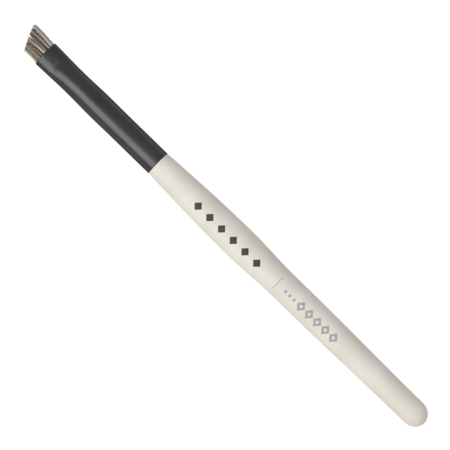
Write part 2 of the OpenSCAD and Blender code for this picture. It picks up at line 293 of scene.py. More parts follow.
# %% Outline of the handle
COLLAR_D = 7.8 * MM
BELLY_D = 9.84 * MM
BELLY_AT = 32.5 * MM
SHANK_D = 8.66 * MM
SHANK_AT = 50.5 * MM
TAPER_AT = 56.5 * MM
TAIL_D = 7.72 * MM
BUTT_LEN = 4.4 * MM
TENON_D = 7.1 * MM
TENON_CHAMFER = 0.6 * MM
GROOVE_COUNT = 3
GROOVE_W = 1.2 * MM
GROOVE_DEPTH = 0.3 * MM
EDGE_R = 0.12 * MM
EDGE_STEPS = 4
OUTLINE_STEP = 0.8 * MM
BUTT_POINTS = 20
HANDLE_LEN = JOINT_X - BUTT_X


def ease(start, end, share):
    """Runs smoothly from start to end as share goes from 0 to 1, and stays level outside."""
    share = min(1.0, max(0.0, share))
    return start + (end - start) * (1 - math.cos(math.pi * share)) / 2


def handle_radius(back):
    """Radius of the handle at a distance back from the ferrule, up to the rounded butt."""
    if back < BELLY_AT:
        wide = COLLAR_D + (BELLY_D - COLLAR_D) * math.sin(math.pi / 2 * back / BELLY_AT)
    elif back < SHANK_AT:
        wide = ease(BELLY_D, SHANK_D, (back - BELLY_AT) / (SHANK_AT - BELLY_AT))
    elif back < TAPER_AT:
        wide = SHANK_D
    else:
        wide = ease(SHANK_D, TAIL_D, (back - TAPER_AT) / (HANDLE_LEN - BUTT_LEN - TAPER_AT))
    return wide / 2


butt_turns = [i * math.pi / 2 / BUTT_POINTS for i in range(BUTT_POINTS)]
outline = [
    (BUTT_X + BUTT_LEN * (1 - math.cos(a)), TAIL_D / 2 * math.sin(a)) for a in butt_turns
]
body_len = HANDLE_LEN - BUTT_LEN - EDGE_R
steps = math.ceil(body_len / OUTLINE_STEP)
for i in range(steps):
    x = BUTT_X + BUTT_LEN + body_len * i / steps
    outline.append((x, handle_radius(JOINT_X - x)))
edge_turns = [i * math.pi / 2 / EDGE_STEPS for i in range(EDGE_STEPS + 1)]
edge_x = JOINT_X - EDGE_R
edge_r = COLLAR_D / 2 - EDGE_R
outline += [(edge_x + EDGE_R * math.sin(a), edge_r + EDGE_R * math.cos(a)) for a in edge_turns]
outline.append((JOINT_X, TENON_D / 2))
groove_room = (TENON_X - JOINT_X) / (GROOVE_COUNT + 1)
for i in range(GROOVE_COUNT):
    middle = JOINT_X + (i + 1) * groove_room
    for side, depth in ((-1, 0), (-1, GROOVE_DEPTH), (1, GROOVE_DEPTH), (1, 0)):
        outline.append((middle + side * GROOVE_W / 2, TENON_D / 2 - depth))
outline += [(TENON_X - TENON_CHAMFER, TENON_D / 2), (TENON_X, TENON_D / 2 - TENON_CHAMFER)]
outline.append((TENON_X, 0))
print("points in the handle's outline:", len(outline))

# %% [markdown]
# The Screw modifier now turns the outline. Its result is kept as a plain mesh, whose doubles on
# the axis are merged and whose faces are made to point outwards. Real edges, such as those of
# the tenon's grooves, stay sharp, and everything else is shaded smooth.

# %% Turn the handle
TURN_STEPS = 128
SHARP_DEG = 35
MERGE_WITHIN = 0.001 * MM


def plain_object(name, mesh):
    """An object at the origin that shows the mesh."""
    piece = bpy.data.objects.new(name, mesh)
    bpy.context.scene.collection.objects.link(piece)
    return piece


def evaluated_mesh(piece, name):
    """The piece's mesh with its modifiers worked out, as a plain mesh of its own."""
    depsgraph = bpy.context.evaluated_depsgraph_get()
    mesh = bpy.data.meshes.new_from_object(piece.evaluated_get(depsgraph), depsgraph=depsgraph)
    mesh.name = name
    return mesh


def tidy_mesh(mesh, merge):
    """Merges doubles, turns every face outwards and keeps real edges sharp."""
    work = bmesh.new()
    work.from_mesh(mesh)
    bmesh.ops.remove_doubles(work, verts=work.verts, dist=merge)
    bmesh.ops.recalc_face_normals(work, faces=work.faces)
    for face in work.faces:
        face.smooth = True
    work.to_mesh(mesh)
    work.free()
    mesh.set_sharp_from_angle(angle=math.radians(SHARP_DEG))


outline_mesh = bpy.data.meshes.new("handle_outline")
outline_mesh.from_pydata(
    [(x, 0, r) for x, r in outline], [(i, i + 1) for i in range(len(outline) - 1)], []
)
lathe = plain_object("lathe", outline_mesh)
spin = lathe.modifiers.new("spin", "SCREW")
spin.axis = "X"
spin.angle = math.tau
spin.steps = TURN_STEPS
spin.render_steps = TURN_STEPS
spin.use_merge_vertices = True
spin.merge_threshold = MERGE_WITHIN
turned_mesh = evaluated_mesh(lathe, "turned_handle")
bpy.data.objects.remove(lathe)
turned_mesh.transform(Matrix.Translation((0, 0, AXIS_Z)))
tidy_mesh(turned_mesh, MERGE_WITHIN)
turned_handle = plain_object("turned_handle", turned_mesh)
print("turned handle faces:", len(turned_mesh.polygons))

# %% [markdown]
# ## The ferrule
#
# The real ferrule is a drawn aluminium tube. It is round where it grips the tenon, swells a
# little at a shoulder, narrows to a neck, and is then pressed between two flat dies, which
# leave a squared oval, and the dies' edge coins a shallow crease into both faces. A loft says
# this best: one section, with a width, a thickness and a squareness, changes along the tube.
# Where width and thickness are equal and nothing is pressed, that section is a circle, so one
# rule makes the whole tube, inside and out.

# %% Sections of the ferrule
WALL = 0.3 * MM
BARREL_D = 7.9 * MM
BARREL_LEN = 16 * MM
SHOULDER_D = 8.02 * MM
SHOULDER_AT = 22.5 * MM
NECK_W = 7.66 * MM
NECK_AT = 33.5 * MM
MOUTH_W = 8.1 * MM
MOUTH_T = 5.2 * MM
MOUTH_SQUARE = 2.25
FLAT_LEN = 4.9 * MM
PINCH_LEN = 12 * MM
CREASE_DEPTH = 0.1 * MM
CREASE_LEN = 0.6 * MM
CREASE_BACK = 1.6 * MM
CREASE_HALF_W = 2.6 * MM
RING_POINTS = 112
LIP_R = 0.15 * MM
FERRULE_LEN = MOUTH_X - JOINT_X
FLAT_AT = FERRULE_LEN - FLAT_LEN
PINCH_AT = FLAT_AT - PINCH_LEN


def ferrule_width(v):
    """Outside width at the distance v along the ferrule, from its back end."""
    if v < SHOULDER_AT:
        return ease(BARREL_D, SHOULDER_D, (v - BARREL_LEN) / (SHOULDER_AT - BARREL_LEN))
    if v < NECK_AT:
        return ease(SHOULDER_D, NECK_W, (v - SHOULDER_AT) / (NECK_AT - SHOULDER_AT))
    return ease(NECK_W, MOUTH_W, (v - NECK_AT) / (FERRULE_LEN - NECK_AT))


def pressed_share(v):
    """0 where the tube is round, and 1 along the flats."""
    return min(1.0, max(0.0, (v - PINCH_AT) / PINCH_LEN)) ** 2


def ferrule_thickness(v):
    """Outside thickness, square to the flats."""
    return ferrule_width(v) + (MOUTH_T - ferrule_width(v)) * pressed_share(v)


def crease_at(v, y):
    """How deep the crease is, running out in front, behind and to each side."""
    behind = ease(0, 1, (v - FLAT_AT + CREASE_BACK) / CREASE_BACK)
    front = ease(0, 1, (v - FLAT_AT) / CREASE_LEN)
    return CREASE_DEPTH * (behind - front) * max(0.0, 1 - (y / CREASE_HALF_W) ** 2) ** 2


def ferrule_ring(v, inset, coined=False):
    """One section at the distance v along the ferrule: a circle, or a squared oval."""
    width = ferrule_width(v) - 2 * inset
    thick = ferrule_thickness(v) - 2 * inset
    power = 2 / (2 + (MOUTH_SQUARE - 2) * pressed_share(v))
    ring = []
    for i in range(RING_POINTS):
        a = math.tau * (i + 0.5) / RING_POINTS
        y = math.copysign(width / 2 * abs(math.cos(a)) ** power, math.cos(a))
        z = thick / 2 * abs(math.sin(a)) ** power - (crease_at(v, y) if coined else 0)
        ring.append((JOINT_X + v, y, AXIS_Z + math.copysign(z, math.sin(a))))
    return ring


print("thickness at the shoulder and mouth, mm:",
      [round(ferrule_thickness(v) / MM, 2) for v in (SHOULDER_AT, FERRULE_LEN)])

# %% [markdown]
# The loft runs along the outside from back to front, over the lip, and along the inside from
# front to back, so that the ferrule is one closed wall. Its sections stand closer together
# where the crease and the lips turn fast. The crease is coined into the outside alone.

# %% Loft the ferrule
LIP_STEPS = 5
LONG_STEP = 0.7 * MM
CREASE_STEPS = 8
FLAT_STEPS = 6
SEAM_WITHIN = 0.0001 * MM


def loft(rings):
    """Joins rings of points into a closed wall, whose last ring meets its first."""
    count = len(rings[0])
    points = [point for ring in rings for point in ring]
    faces = []
    for k in range(len(rings)):
        here = k * count
        there = (k + 1) % len(rings) * count
        for i in range(count):
            j = (i + 1) % count
            faces.append((here + i, here + j, there + j, there + i))
    mesh = bpy.data.meshes.new("loft")
    mesh.from_pydata(points, [], faces)
    return mesh


long_steps = math.ceil(FLAT_AT / LONG_STEP)
stations = [LIP_R + (FLAT_AT - LIP_R) * i / long_steps for i in range(long_steps + 1)]
stations += [FLAT_AT + CREASE_LEN * (i + 1) / CREASE_STEPS for i in range(CREASE_STEPS)]
flat_left = FERRULE_LEN - LIP_R - FLAT_AT - CREASE_LEN
stations += [FLAT_AT + CREASE_LEN + flat_left * (i + 1) / FLAT_STEPS for i in range(FLAT_STEPS)]
lip_turns = [math.pi / 2 * (i + 1) / LIP_STEPS for i in range(LIP_STEPS)]
rounding = [(LIP_R * (1 - math.sin(a)), LIP_R * (1 - math.cos(a))) for a in lip_turns]
back_lip = [ferrule_ring(back, inset) for back, inset in reversed(rounding)]
outside = [ferrule_ring(v, 0, coined=True) for v in stations]
front_lip = [ferrule_ring(FERRULE_LEN - back, inset) for back, inset in rounding]
inner_lip = [ferrule_ring(FERRULE_LEN - back, WALL - inset) for back, inset in reversed(rounding)]
inside = [ferrule_ring(v, WALL) for v in reversed(stations)] + [ferrule_ring(0, WALL)]
ferrule_mesh = loft(back_lip + outside + front_lip + inner_lip + inside)
ferrule_mesh.name = "pressed_ferrule"
tidy_mesh(ferrule_mesh, SEAM_WITHIN)
pressed_ferrule = plain_object("pressed_ferrule", ferrule_mesh)
print("pressed ferrule faces:", len(ferrule_mesh.polygons))

# %% [markdown]
# ## Growing things with Geometry Nodes
#
# Bristles and printed ornament both repeat one small shape, so a node tree makes them. Every
# tree below has named inputs. The modifier's values are set by each socket's identifier, the
# tree is worked out once, and the result is kept as a plain mesh.

# %% Trees with named inputs
SOCKETS = {float: "NodeSocketFloat", int: "NodeSocketInt"}


def new_tree(name, inputs):
    """A Geometry Nodes tree, and a wire for each of its named inputs."""
    tree = bpy.data.node_groups.new(name, "GeometryNodeTree")
    tree.interface.new_socket("Geometry", in_out="OUTPUT", socket_type="NodeSocketGeometry")
    for label, kind in inputs.items():
        tree.interface.new_socket(label, in_out="INPUT", socket_type=SOCKETS.get(kind, kind))
    graph = Graph(tree)
    entry = tree.nodes.new("NodeGroupInput")
    return graph, {label: Wire(graph, entry.outputs[label]) for label in inputs}


def plant(graph, points, shape):
    """A copy of the shape on each point, made real so that each copy can be changed."""
    values = {"Points": points, "Instance": shape}
    planted = graph.node("GeometryNodeInstanceOnPoints", values=values)
    return graph.node("GeometryNodeRealizeInstances", values={"Geometry": planted})


def end_tree(graph, shape, material):
    """Ends a tree in Realize Instances and Set Material."""
    real = graph.node("GeometryNodeRealizeInstances", values={"Geometry": shape})
    values = {"Geometry": real, "Material": material}
    finished = graph.node("GeometryNodeSetMaterial", values=values)
    graph.node("NodeGroupOutput", values={0: finished}, out=None)


def run_tree(graph, name, values):
    """Works a tree out with the given values and keeps the result as a plain mesh."""
    piece = plain_object(name, bpy.data.meshes.new(name + "_start"))
    modifier = piece.modifiers.new("grow", "NODES")
    modifier.node_group = graph.tree
    for socket in graph.tree.interface.items_tree:
        if socket.name in values:
            modifier[socket.identifier] = values[socket.name]
    mesh = evaluated_mesh(piece, name)
    piece.modifiers.remove(modifier)
    piece.data = mesh
    return piece


print("tree helpers are ready")

# %% [markdown]
# ## Finishes
#
# Each finish is one Principled shader. Whatever changes over a surface feeds only its colour,
# its roughness or a Bump node, and everything else is a plain number on the shader's own
# socket. `Finish` is a graph that already holds the shader. Noise stays near its middle value,
# so a finish that wants two clear tones takes only the middle of its range. Mix has several
# sockets called A, B and Result, so the ones for colours go by number.

# %% Helpers for finishes
MIDDLE_OF_NOISE = (0.35, 0.65)
MOST_OF_NOISE = (0.3, 0.7)
COLOUR_A, COLOUR_B, MIXED_COLOUR = 6, 7, 2


def colour(text):
    """A colour written as six hex digits, as the linear numbers that the shader wants."""
    parts = [int(text[i:i + 2], 16) / 255 for i in (0, 2, 4)]
    linear = [p / 12.92 if p <= 0.04045 else ((p + 0.055) / 1.055) ** 2.4 for p in parts]
    return (*linear, 1)


class Finish(Graph):
    """A material with one Principled shader, and the graph of what feeds it."""

    def __init__(self, name, **numbers):
        self.material = bpy.data.materials.new(name)
        self.material.use_nodes = True
        super().__init__(self.material.node_tree)
        self.shader = self.tree.nodes["Principled BSDF"]
        for socket, value in numbers.items():
            self.shader.inputs[socket.replace("_", " ")].default_value = value
        self.place = self.node("ShaderNodeTexCoord", out="Object")

    def feed(self, socket, wire):
        """Links a wire to one of the shader's sockets."""
        self.tree.links.new(wire.socket, self.shader.inputs[socket])

    def noise(self, size, detail=2.0, stretch=(1, 1, 1)):
        """Noise with features of about the given size in metres, longer where it is stretched."""
        mapping = {"Vector": self.place, "Scale": tuple(1 / s for s in stretch)}
        scaled = self.node("ShaderNodeMapping", values=mapping)
        return self.noise_at(scaled, 1 / size, detail)

    def tint(self, share, start, end):
        """A colour that runs from start to end as share goes from 0 to 1."""
        values = {"Factor": share, COLOUR_A: start, COLOUR_B: end}
        return self.node("ShaderNodeMix", {"data_type": "RGBA"}, values, out=MIXED_COLOUR)

    def bump(self, height, depth):
        """Feeds the normal with a relief of the given depth in metres."""
        values = {"Height": height, "Distance": depth}
        self.feed("Normal", self.node("ShaderNodeBump", values=values))


print("finish helpers are ready")

# %% [markdown]
# The handle is lacquered a warm off-white over a sealed base, and has the soft sheen of a
# thick satin coat. A hand-held look shows a very faint unevenness of the tint and a fine
# orange-peel texture. In front of the joint the lacquer stops, because the tenon is left as
# bare birch for the glue to hold.

# %% Satin lacquer and bare birch
LACQUER = colour("EAE5DD")
LACQUER_SHADE = colour("E5DFD5")
LACQUER_ROUGH = (0.46, 0.56)
BIRCH = colour("D9BE95")
BIRCH_GRAIN = colour("B8935F")
BIRCH_ROUGH = 0.8
PEEL_DEPTH = 0.006 * MM

lacquer = Finish("satin_lacquer", Specular_IOR_Level=0.4)
mottle = lacquer.noise(9 * MM, detail=3)
coat = lacquer.tint(lacquer.step(mottle, *MIDDLE_OF_NOISE), LACQUER, LACQUER_SHADE)
grain = lacquer.noise(0.5 * MM, detail=3, stretch=(14, 1, 1))
birch = lacquer.tint(lacquer.step(grain, *MOST_OF_NOISE), BIRCH, BIRCH_GRAIN)
bare = lacquer.split(lacquer.place)[0] > JOINT_X + EDGE_R
lacquer.feed("Base Color", lacquer.tint(bare, coat, birch))
smear = lacquer.noise(3 * MM, detail=4, stretch=(3, 1, 1))
rough = lacquer.blend(smear, *LACQUER_ROUGH)
lacquer.feed("Roughness", rough.high(bare * BIRCH_ROUGH))
peel = lacquer.noise(0.9 * MM, detail=1)
lacquer.bump(lacquer.blend(bare, peel, grain), PEEL_DEPTH)
turned_mesh.materials.append(lacquer.material)
print("satin lacquer is ready")

# %% [markdown]
# The ferrule is aluminium with a matt black anodised skin. Drawing the tube leaves a grain
# that runs along it, so faint that it only breaks the highlight up a little, and handling
# polishes the skin slightly. The colour hardly changes, so most of this is in the roughness.

# %% Matt black anodised aluminium
ANODISED = colour("4B4A4B")
ANODISED_WORN = colour("51504F")
ANODISED_ROUGH = (0.26, 0.32)
EDGE_TINT = (0.4, 0.4, 0.4, 1)
GRAIN_DEPTH = 0.003 * MM

anodised = Finish("black_anodised", Metallic=1.0, Specular_Tint=EDGE_TINT)
cloud = anodised.noise(5 * MM, detail=3, stretch=(2, 1, 1))
worn = anodised.step(cloud, *MOST_OF_NOISE)
anodised.feed("Base Color", anodised.tint(worn, ANODISED, ANODISED_WORN))
drawn = anodised.noise(0.12 * MM, detail=2, stretch=(40, 1, 1))
anodised.feed("Roughness", anodised.blend(drawn * 0.5 + cloud * 0.5, *ANODISED_ROUGH))
speck = anodised.noise(0.15 * MM, detail=2)
anodised.bump(drawn * 0.5 + speck * 0.5, GRAIN_DEPTH)
ferrule_mesh.materials.append(anodised.material)
print("black anodised skin is ready")

# %% [markdown]
# ## The tuft
#
# The tuft is some hundreds of stiff natural bristles. They are bound and set in epoxy inside
# the ferrule, fill its flat mouth from wall to wall, and were trimmed on a slant after that.
# Stiff hair never stands evenly, and pale, middling and dark hairs lie mixed. Bleached hair
# shows as bright streaks between dark ones. The two narrow sides are pale hair with painted light
# on top, paled most on the -Y side, which faces away from the key lamp. Use has swept the tuft a
# little to one side, and its top layer a little to the other.
#
# All this follows rules, so one tree plants the roots on the mouth's squared oval, grows a
# strand on each and bends the strands. It works in millimetres from the middle of the mouth,
# and scales the result to metres at the end. It is run once for each tone, and the hidden
# heart of the tuft counts as a fourth one.

# %% Plant the roots
TUFT_SEED = 5
TUFT_HALF_W = 3.66
TUFT_HALF_T = 2.2
HAIR_SPACING = 0.155
MOST_ROOTS_PER_MM2 = 400.0


def read(graph, name, kind="FLOAT"):
    """What was stored on each point under a name."""
    return graph.node("GeometryNodeInputNamedAttribute", {"data_type": kind}, {"Name": name})


def home_and_luck(graph):
    """A strand's home, as Y and Z, and its three random numbers."""
    y, z = graph.split(read(graph, "home", "FLOAT_VECTOR"))[:2]
    return y, z, graph.split(read(graph, "chance", "FLOAT_VECTOR"))


def store(graph, shape, name, value, kind="FLOAT"):
    """The shape, with a value stored on each of its points."""
    settings = {"data_type": kind, "domain": "POINT"}
    values = {"Geometry": shape, "Name": name, "Value": value}
    return graph.node("GeometryNodeStoreNamedAttribute", settings, values)


def plant_roots(graph, given):
    """Roots on the mouth's rectangle, each with its home and three random numbers."""
    size = {"Size X": given["Half Width"] * 2, "Size Y": given["Half Thickness"] * 2}
    mouth = graph.node("GeometryNodeMeshGrid", values={**size, "Vertices X": 2, "Vertices Y": 2})
    seed = {"Seed": given["Seed"]}
    values = {"Mesh": mouth, "Distance Min": given["Spacing"], "Density Max": MOST_ROOTS_PER_MM2}
    method = {"distribute_method": "POISSON"}
    roots = graph.node("GeometryNodeDistributePointsOnFaces", method, {**values, **seed})
    home = graph.node("GeometryNodeInputPosition")
    chance = graph.node("FunctionNodeRandomValue", {"data_type": "FLOAT_VECTOR"}, seed)
    roots = store(graph, roots, "home", home, "FLOAT_VECTOR")
    return store(graph, roots, "chance", chance, "FLOAT_VECTOR")


print("tuft width and thickness, mm:", 2 * TUFT_HALF_W, 2 * TUFT_HALF_T)

# %% [markdown]
# Each root gets a number that says how pale its strand is. Noise makes small clumps of a like
# tone, luck sets neighbours a little apart, and a few streaks shift the number on purpose. A
# streak is its middle, its half width and how much paler or darker it is. The two narrow sides
# are paled too, partly as painted light: the -Y side, which faces away from the key lamp, is
# paled more than the lit +Y one. The number picks the root's tone, but in the hidden heart every
# root counts as packed. A root stays where its tone is the wanted one and it lies in the squared
# oval. The imported model has one node for each tone.

# %% Pick the tones
TONES = {"packed": "tuft_core", "dark": "dark_bristles", "mid": "mid_bristles", "pale": "pale_bristles"}
MID_FROM = 0.42
PALE_FROM = 0.66
TONE_MIDDLE = 0.41
TONE_CONTRAST = 2.4
TONE_LUCK = 0.35
CLUMP = 0.42
CLUMP_THROUGH = 0.35
STREAK_CORE = 0.4
STREAKS = (
    (-2.4, 0.18, -0.7),
    (-1.93, 0.14, 0.6),
    (-1.25, 0.4, -0.6),
    (-0.6, 0.12, -0.15),
    (-0.1, 0.22, 1.5),
    (0.4, 0.2, -0.3),
    (0.85, 0.1, 0.1),
    (1.35, 0.3, -0.5),
    (2.2, 0.18, 1.2),
    (2.55, 0.15, -0.2),
)
# The narrow sides are paled as pale hair and as painted light, most where they face away from the key.
SIDES_MIDDLE = 0.32
SIDES_FROM = 2.7
SIDES_FADE = 0.3
SIDES_LUCK = 0.4
SIDES_PALER_AND_LIT = 0.4
LESS_ON_LIT_SIDE = 0.45
HEART_HALF_W = 2.6
HEART_HALF_T = 1.1


def pale_side_and_light(graph, y, luck):
    """1 on the narrow sides, less on the lit +Y one, 0 between: pale hair and painted light."""
    away = abs(y - SIDES_MIDDLE) + (luck - 0.5) * SIDES_LUCK
    return graph.step(away, SIDES_FROM, SIDES_FROM + SIDES_FADE) * (1 - (y > 0) * LESS_ON_LIT_SIDE)


def pick_tone(graph, given, roots):
    """Stores how pale each strand is, and keeps the roots of the wanted tone."""
    y, z, luck = home_and_luck(graph)
    clump = graph.noise_at(graph.join(y, z * CLUMP_THROUGH, 0), 1 / CLUMP, detail=1.0)
    side = pale_side_and_light(graph, y, luck[1])
    shade = (clump - 0.5) * TONE_CONTRAST + TONE_MIDDLE + (luck[0] - 0.5) * TONE_LUCK
    for middle, half_width, strength in STREAKS:
        streak = graph.step(abs(y - middle), half_width, half_width * STREAK_CORE)
        shade = shade + streak * strength
    # Painted light: the sides are paled, the -Y one, which faces away from the key, the most.
    shade = shade + side * SIDES_PALER_AND_LIT
    roots = store(graph, roots, "shade", shade)
    roots = store(graph, roots, "side", side)
    in_heart = (abs(z) < HEART_HALF_T) * (abs(y) < HEART_HALF_W)
    tone = (1 + (shade > MID_FROM) + (shade > PALE_FROM)) * (1 - in_heart)
    other = abs(tone - given["Wanted Tone"]) > 0.5
    reach_y = abs(y) / given["Half Width"]
    reach_z = abs(z) / given["Half Thickness"]
    outside = reach_y ** MOUTH_SQUARE + reach_z ** MOUTH_SQUARE > 1
    settings = {"domain": "POINT", "mode": "ALL"}
    values = {"Geometry": roots, "Selection": (other + outside) > 0.5}
    return graph.node("GeometryNodeDeleteGeometry", settings, values)


print("tones:", ", ".join(TONES))

# %% [markdown]
# A strand is a line of a few points. The first is the bound root and the others run from just
# inside the mouth to the tip, where they are seen. A copy of the line is planted on each root,
# and because the copies are real, they can be bent one by one.

# %% Grow the strands
HAIR_POINTS = 9
FIRST_SHARE = 1 / (HAIR_POINTS - 1)


def grow_strands(graph, roots):
    """A straight strand on each root."""
    ends = {"Start": (0, 0, 0), "End": (0, 0, 1)}
    line = graph.node("GeometryNodeCurvePrimitiveLine", {"mode": "POINTS"}, ends)
    values = {"Curve": line, "Count": HAIR_POINTS}
    return plant(graph, roots, graph.node("GeometryNodeResampleCurve", {"mode": "COUNT"}, values))


print("points on each strand:", HAIR_POINTS)

# %% [markdown]
# Three things gather the strands. Borders across the tuft split it into locks, and each border
# leaves a notch in the trimmed end. Voronoi cells make wisps, whose strands lean to the middle
# of their cell. Slow noise lets neighbours drift together. `u` is a point's share of a strand
# that is still straight: 0 just inside the mouth and 1 at the tip. y and z are its home.

# %% Locks, wisps and drift
LOCK_MIDDLES = (-3.4, -1.5, 0.45, 1.75, 3.0)
LOCK_BORDERS = (-2.65, -0.45, 1.35, 2.2)
NOTCH_DEPTHS = (0.05, 0.75, 0.2, 0.15)
NOTCH_HALF_W = 0.28
BORDER_BEND = 0.2
BEND_RATE = 0.6
BEND_SLICE = 3
WISP = 0.5
WISP_GATHER = 0.1
WANDER = 0.25
WANDER_RATE = 0.8
WANDER_ALONG = 0.9


def lock_and_notch(graph, z, aim):
    """The middle of the lock that holds a tip, and how deep the notch is there."""
    bend = graph.noise_at(graph.join(z * BEND_RATE, BEND_SLICE, 0))
    shifted = aim + (bend - 0.5) * BORDER_BEND
    lock, notch = LOCK_MIDDLES[0], 0.0
    for i, border in enumerate(LOCK_BORDERS):
        lock = lock + (shifted > border) * (LOCK_MIDDLES[i + 1] - LOCK_MIDDLES[i])
        notch = notch + graph.step(abs(shifted - border), NOTCH_HALF_W, 0.0) * NOTCH_DEPTHS[i]
    return lock, notch


def way_to_wisp(graph, y, z):
    """How far a tip leans towards the middle of its wisp, in Y and in Z."""
    place = graph.join(y / WISP, z / WISP, 0)
    values = {"Vector": place, "Scale": 1.0}
    cells = graph.node("ShaderNodeTexVoronoi", values=values, out="Position")
    wisp_y, wisp_z = graph.split(cells)[:2]
    return (wisp_y * WISP - y) * WISP_GATHER, (wisp_z * WISP - z) * WISP_GATHER


def drift_along(graph, y, z, u):
    """How far a strand has drifted at u, in Y and in Z."""
    place = graph.join(y * WANDER_RATE, z * WANDER_RATE, u * WANDER_ALONG)
    noise = graph.noise_at(place, detail=1.0, out="Color")
    return [(part - 0.5) * u * WANDER for part in graph.split(noise)[:2]]


print("locks:", len(LOCK_MIDDLES), "and notches:", len(LOCK_BORDERS))

# %% [markdown]
# A strand's own bend adds to that. The tuft leans to one side, its top layer was swept to the
# other, it flares a little, and each strand strays by chance. How far it reaches is the slant
# of the trim less its notch, its own short measure and the worn corner. The bound root stays
# narrower than the mouth. What is stored afterwards is worked out anew on the bent strand, by
# its real length: `along` is about 0.6 at the mouth, and `out` is below 0 only on the root.

# %% Bend the strands
PULL_POWER = 1.6
FLARE = 0.06
TUFT_LEAN = -0.25
LEAN_ALONG = (0.13, 0.7)
SWEEP = 0.8
SWEEP_HALF_W = 2.6
SWEEP_HEIGHTS = (0.4, 1.6)
STRAY = 0.55
STRAY_Z = 0.14
LOCK_GATHER = 0.07
TRIM_MIDDLE = 6.5
TRIM_SLOPE = 0.44
UNEVEN = 0.06
FEW_SHORT = 0.4
FEW_POWER = 8
CORNER_CUT = 0.5
CORNER_SPAN = (-3.5, -4.1)
START_INSIDE = 1.0
ROOT_LEN = (MOUTH_X - ROOT_X) / MM
ROOT_W_SHARE = 0.79
ROOT_T_SHARE = 0.96


def bend_strands(graph, strands):
    """Puts every point of every strand in its place, and stores what the finish reads."""
    y, z, luck = home_and_luck(graph)
    share = graph.node("GeometryNodeSplineParameter")
    u = ((share - FIRST_SHARE) / (1 - FIRST_SHARE)).high(0)
    at_root = share < FIRST_SHARE / 2
    pull = u ** PULL_POWER

    sweep = (1 - (y / SWEEP_HALF_W) ** 2).high(0) * graph.step(z, *SWEEP_HEIGHTS) * SWEEP
    stray_y = (luck[1] - 0.5) * (1 - (y / TUFT_HALF_W) ** 2).high(0) * STRAY
    stray_z = (luck[2] - 0.5) * STRAY_Z
    aim = y * (1 + FLARE) + TUFT_LEAN + sweep + stray_y
    lock, notch = lock_and_notch(graph, z, aim)
    to_lock = (lock - aim) * LOCK_GATHER
    wisp_y, wisp_z = way_to_wisp(graph, y, z)
    drift_y, drift_z = drift_along(graph, y, z, u)

    lean = graph.step(u, *LEAN_ALONG) * TUFT_LEAN
    new_y = y * (1 + u * FLARE) + lean + stray_y * u + (to_lock + wisp_y) * pull
    new_y = new_y + drift_y + sweep * u
    new_z = z + (wisp_z + stray_z) * pull + drift_z
    new_y = graph.blend(at_root, new_y, y * ROOT_W_SHARE)
    new_z = graph.blend(at_root, new_z, z * ROOT_T_SHARE)

    end_y = aim + to_lock
    short = (luck[2] ** FEW_POWER) * FEW_SHORT + luck[0] * UNEVEN
    corner = graph.step(end_y, *CORNER_SPAN) * CORNER_CUT
    reach = TRIM_MIDDLE - end_y * TRIM_SLOPE - notch - short - corner
    new_x = u * (reach + START_INSIDE) - START_INSIDE
    new_x = graph.blend(at_root, new_x, -ROOT_LEN)

    values = {"Geometry": strands, "Position": graph.join(new_x, new_y, new_z)}
    bent = graph.node("GeometryNodeSetPosition", values=values)
    bent = store(graph, bent, "along", u)
    return store(graph, bent, "out", new_x)


print("bound length of the roots, mm:", round(ROOT_LEN, 2))

# %% [markdown]
# A small ring swept along each strand makes it solid, with closed ends. Strands thin towards
# the tip, no two are quite the same, and the palest are the boldest. Curve to Mesh takes the
# radius as its scale. The last step scales the tuft to metres and moves it to the mouth.

# %% Put the tree together
HAIR_R = 0.085
HAIR_TIP_R = 0.068
HAIR_SIDES = 5
FACES_PER_HAIR = HAIR_SIDES * (HAIR_POINTS - 1) + 2
FINE = 0.82
COARSER = 0.36
BOLDER = 0.4
BOLD_SHADES = (0.75, 1.0)


def thicken_strands(graph, strands):
    """Sweeps a ring along every strand."""
    luck = home_and_luck(graph)[2]
    bold = graph.step(read(graph, "shade"), *BOLD_SHADES)
    radius = graph.blend(read(graph, "along"), HAIR_R, HAIR_TIP_R)
    radius = radius * (FINE + luck[1] * COARSER + bold * BOLDER)
    strands = store(graph, strands, "thick", radius)
    circle = {"Resolution": HAIR_SIDES, "Radius": 1.0}
    ring = graph.node("GeometryNodeCurvePrimitiveCircle", {"mode": "RADIUS"}, circle)
    tube = {"Curve": strands, "Profile Curve": ring, "Scale": read(graph, "thick"), "Fill Caps": True}
    solid = graph.node("GeometryNodeCurveToMesh", values=tube)
    return graph.node("GeometryNodeSetShadeSmooth", values={"Geometry": solid})


def build_tuft_tree():
    """Roots, tones, strands and their thickness, one after the other."""
    sizes = dict.fromkeys(("Half Width", "Half Thickness", "Spacing"), float)
    numbers = dict.fromkeys(("Seed", "Wanted Tone"), int)
    graph, given = new_tree("tuft", {**sizes, **numbers, "Finish": "NodeSocketMaterial"})
    roots = pick_tone(graph, given, plant_roots(graph, given))
    hairs = thicken_strands(graph, bend_strands(graph, grow_strands(graph, roots)))
    values = {"Geometry": hairs, "Translation": (MOUTH_X, 0, AXIS_Z), "Scale": (MM, MM, MM)}
    end_tree(graph, graph.node("GeometryNodeTransform", values=values), given["Finish"])
    return graph


tuft_graph = build_tuft_tree()
print("nodes in the tuft's tree:", len(tuft_graph.tree.nodes))
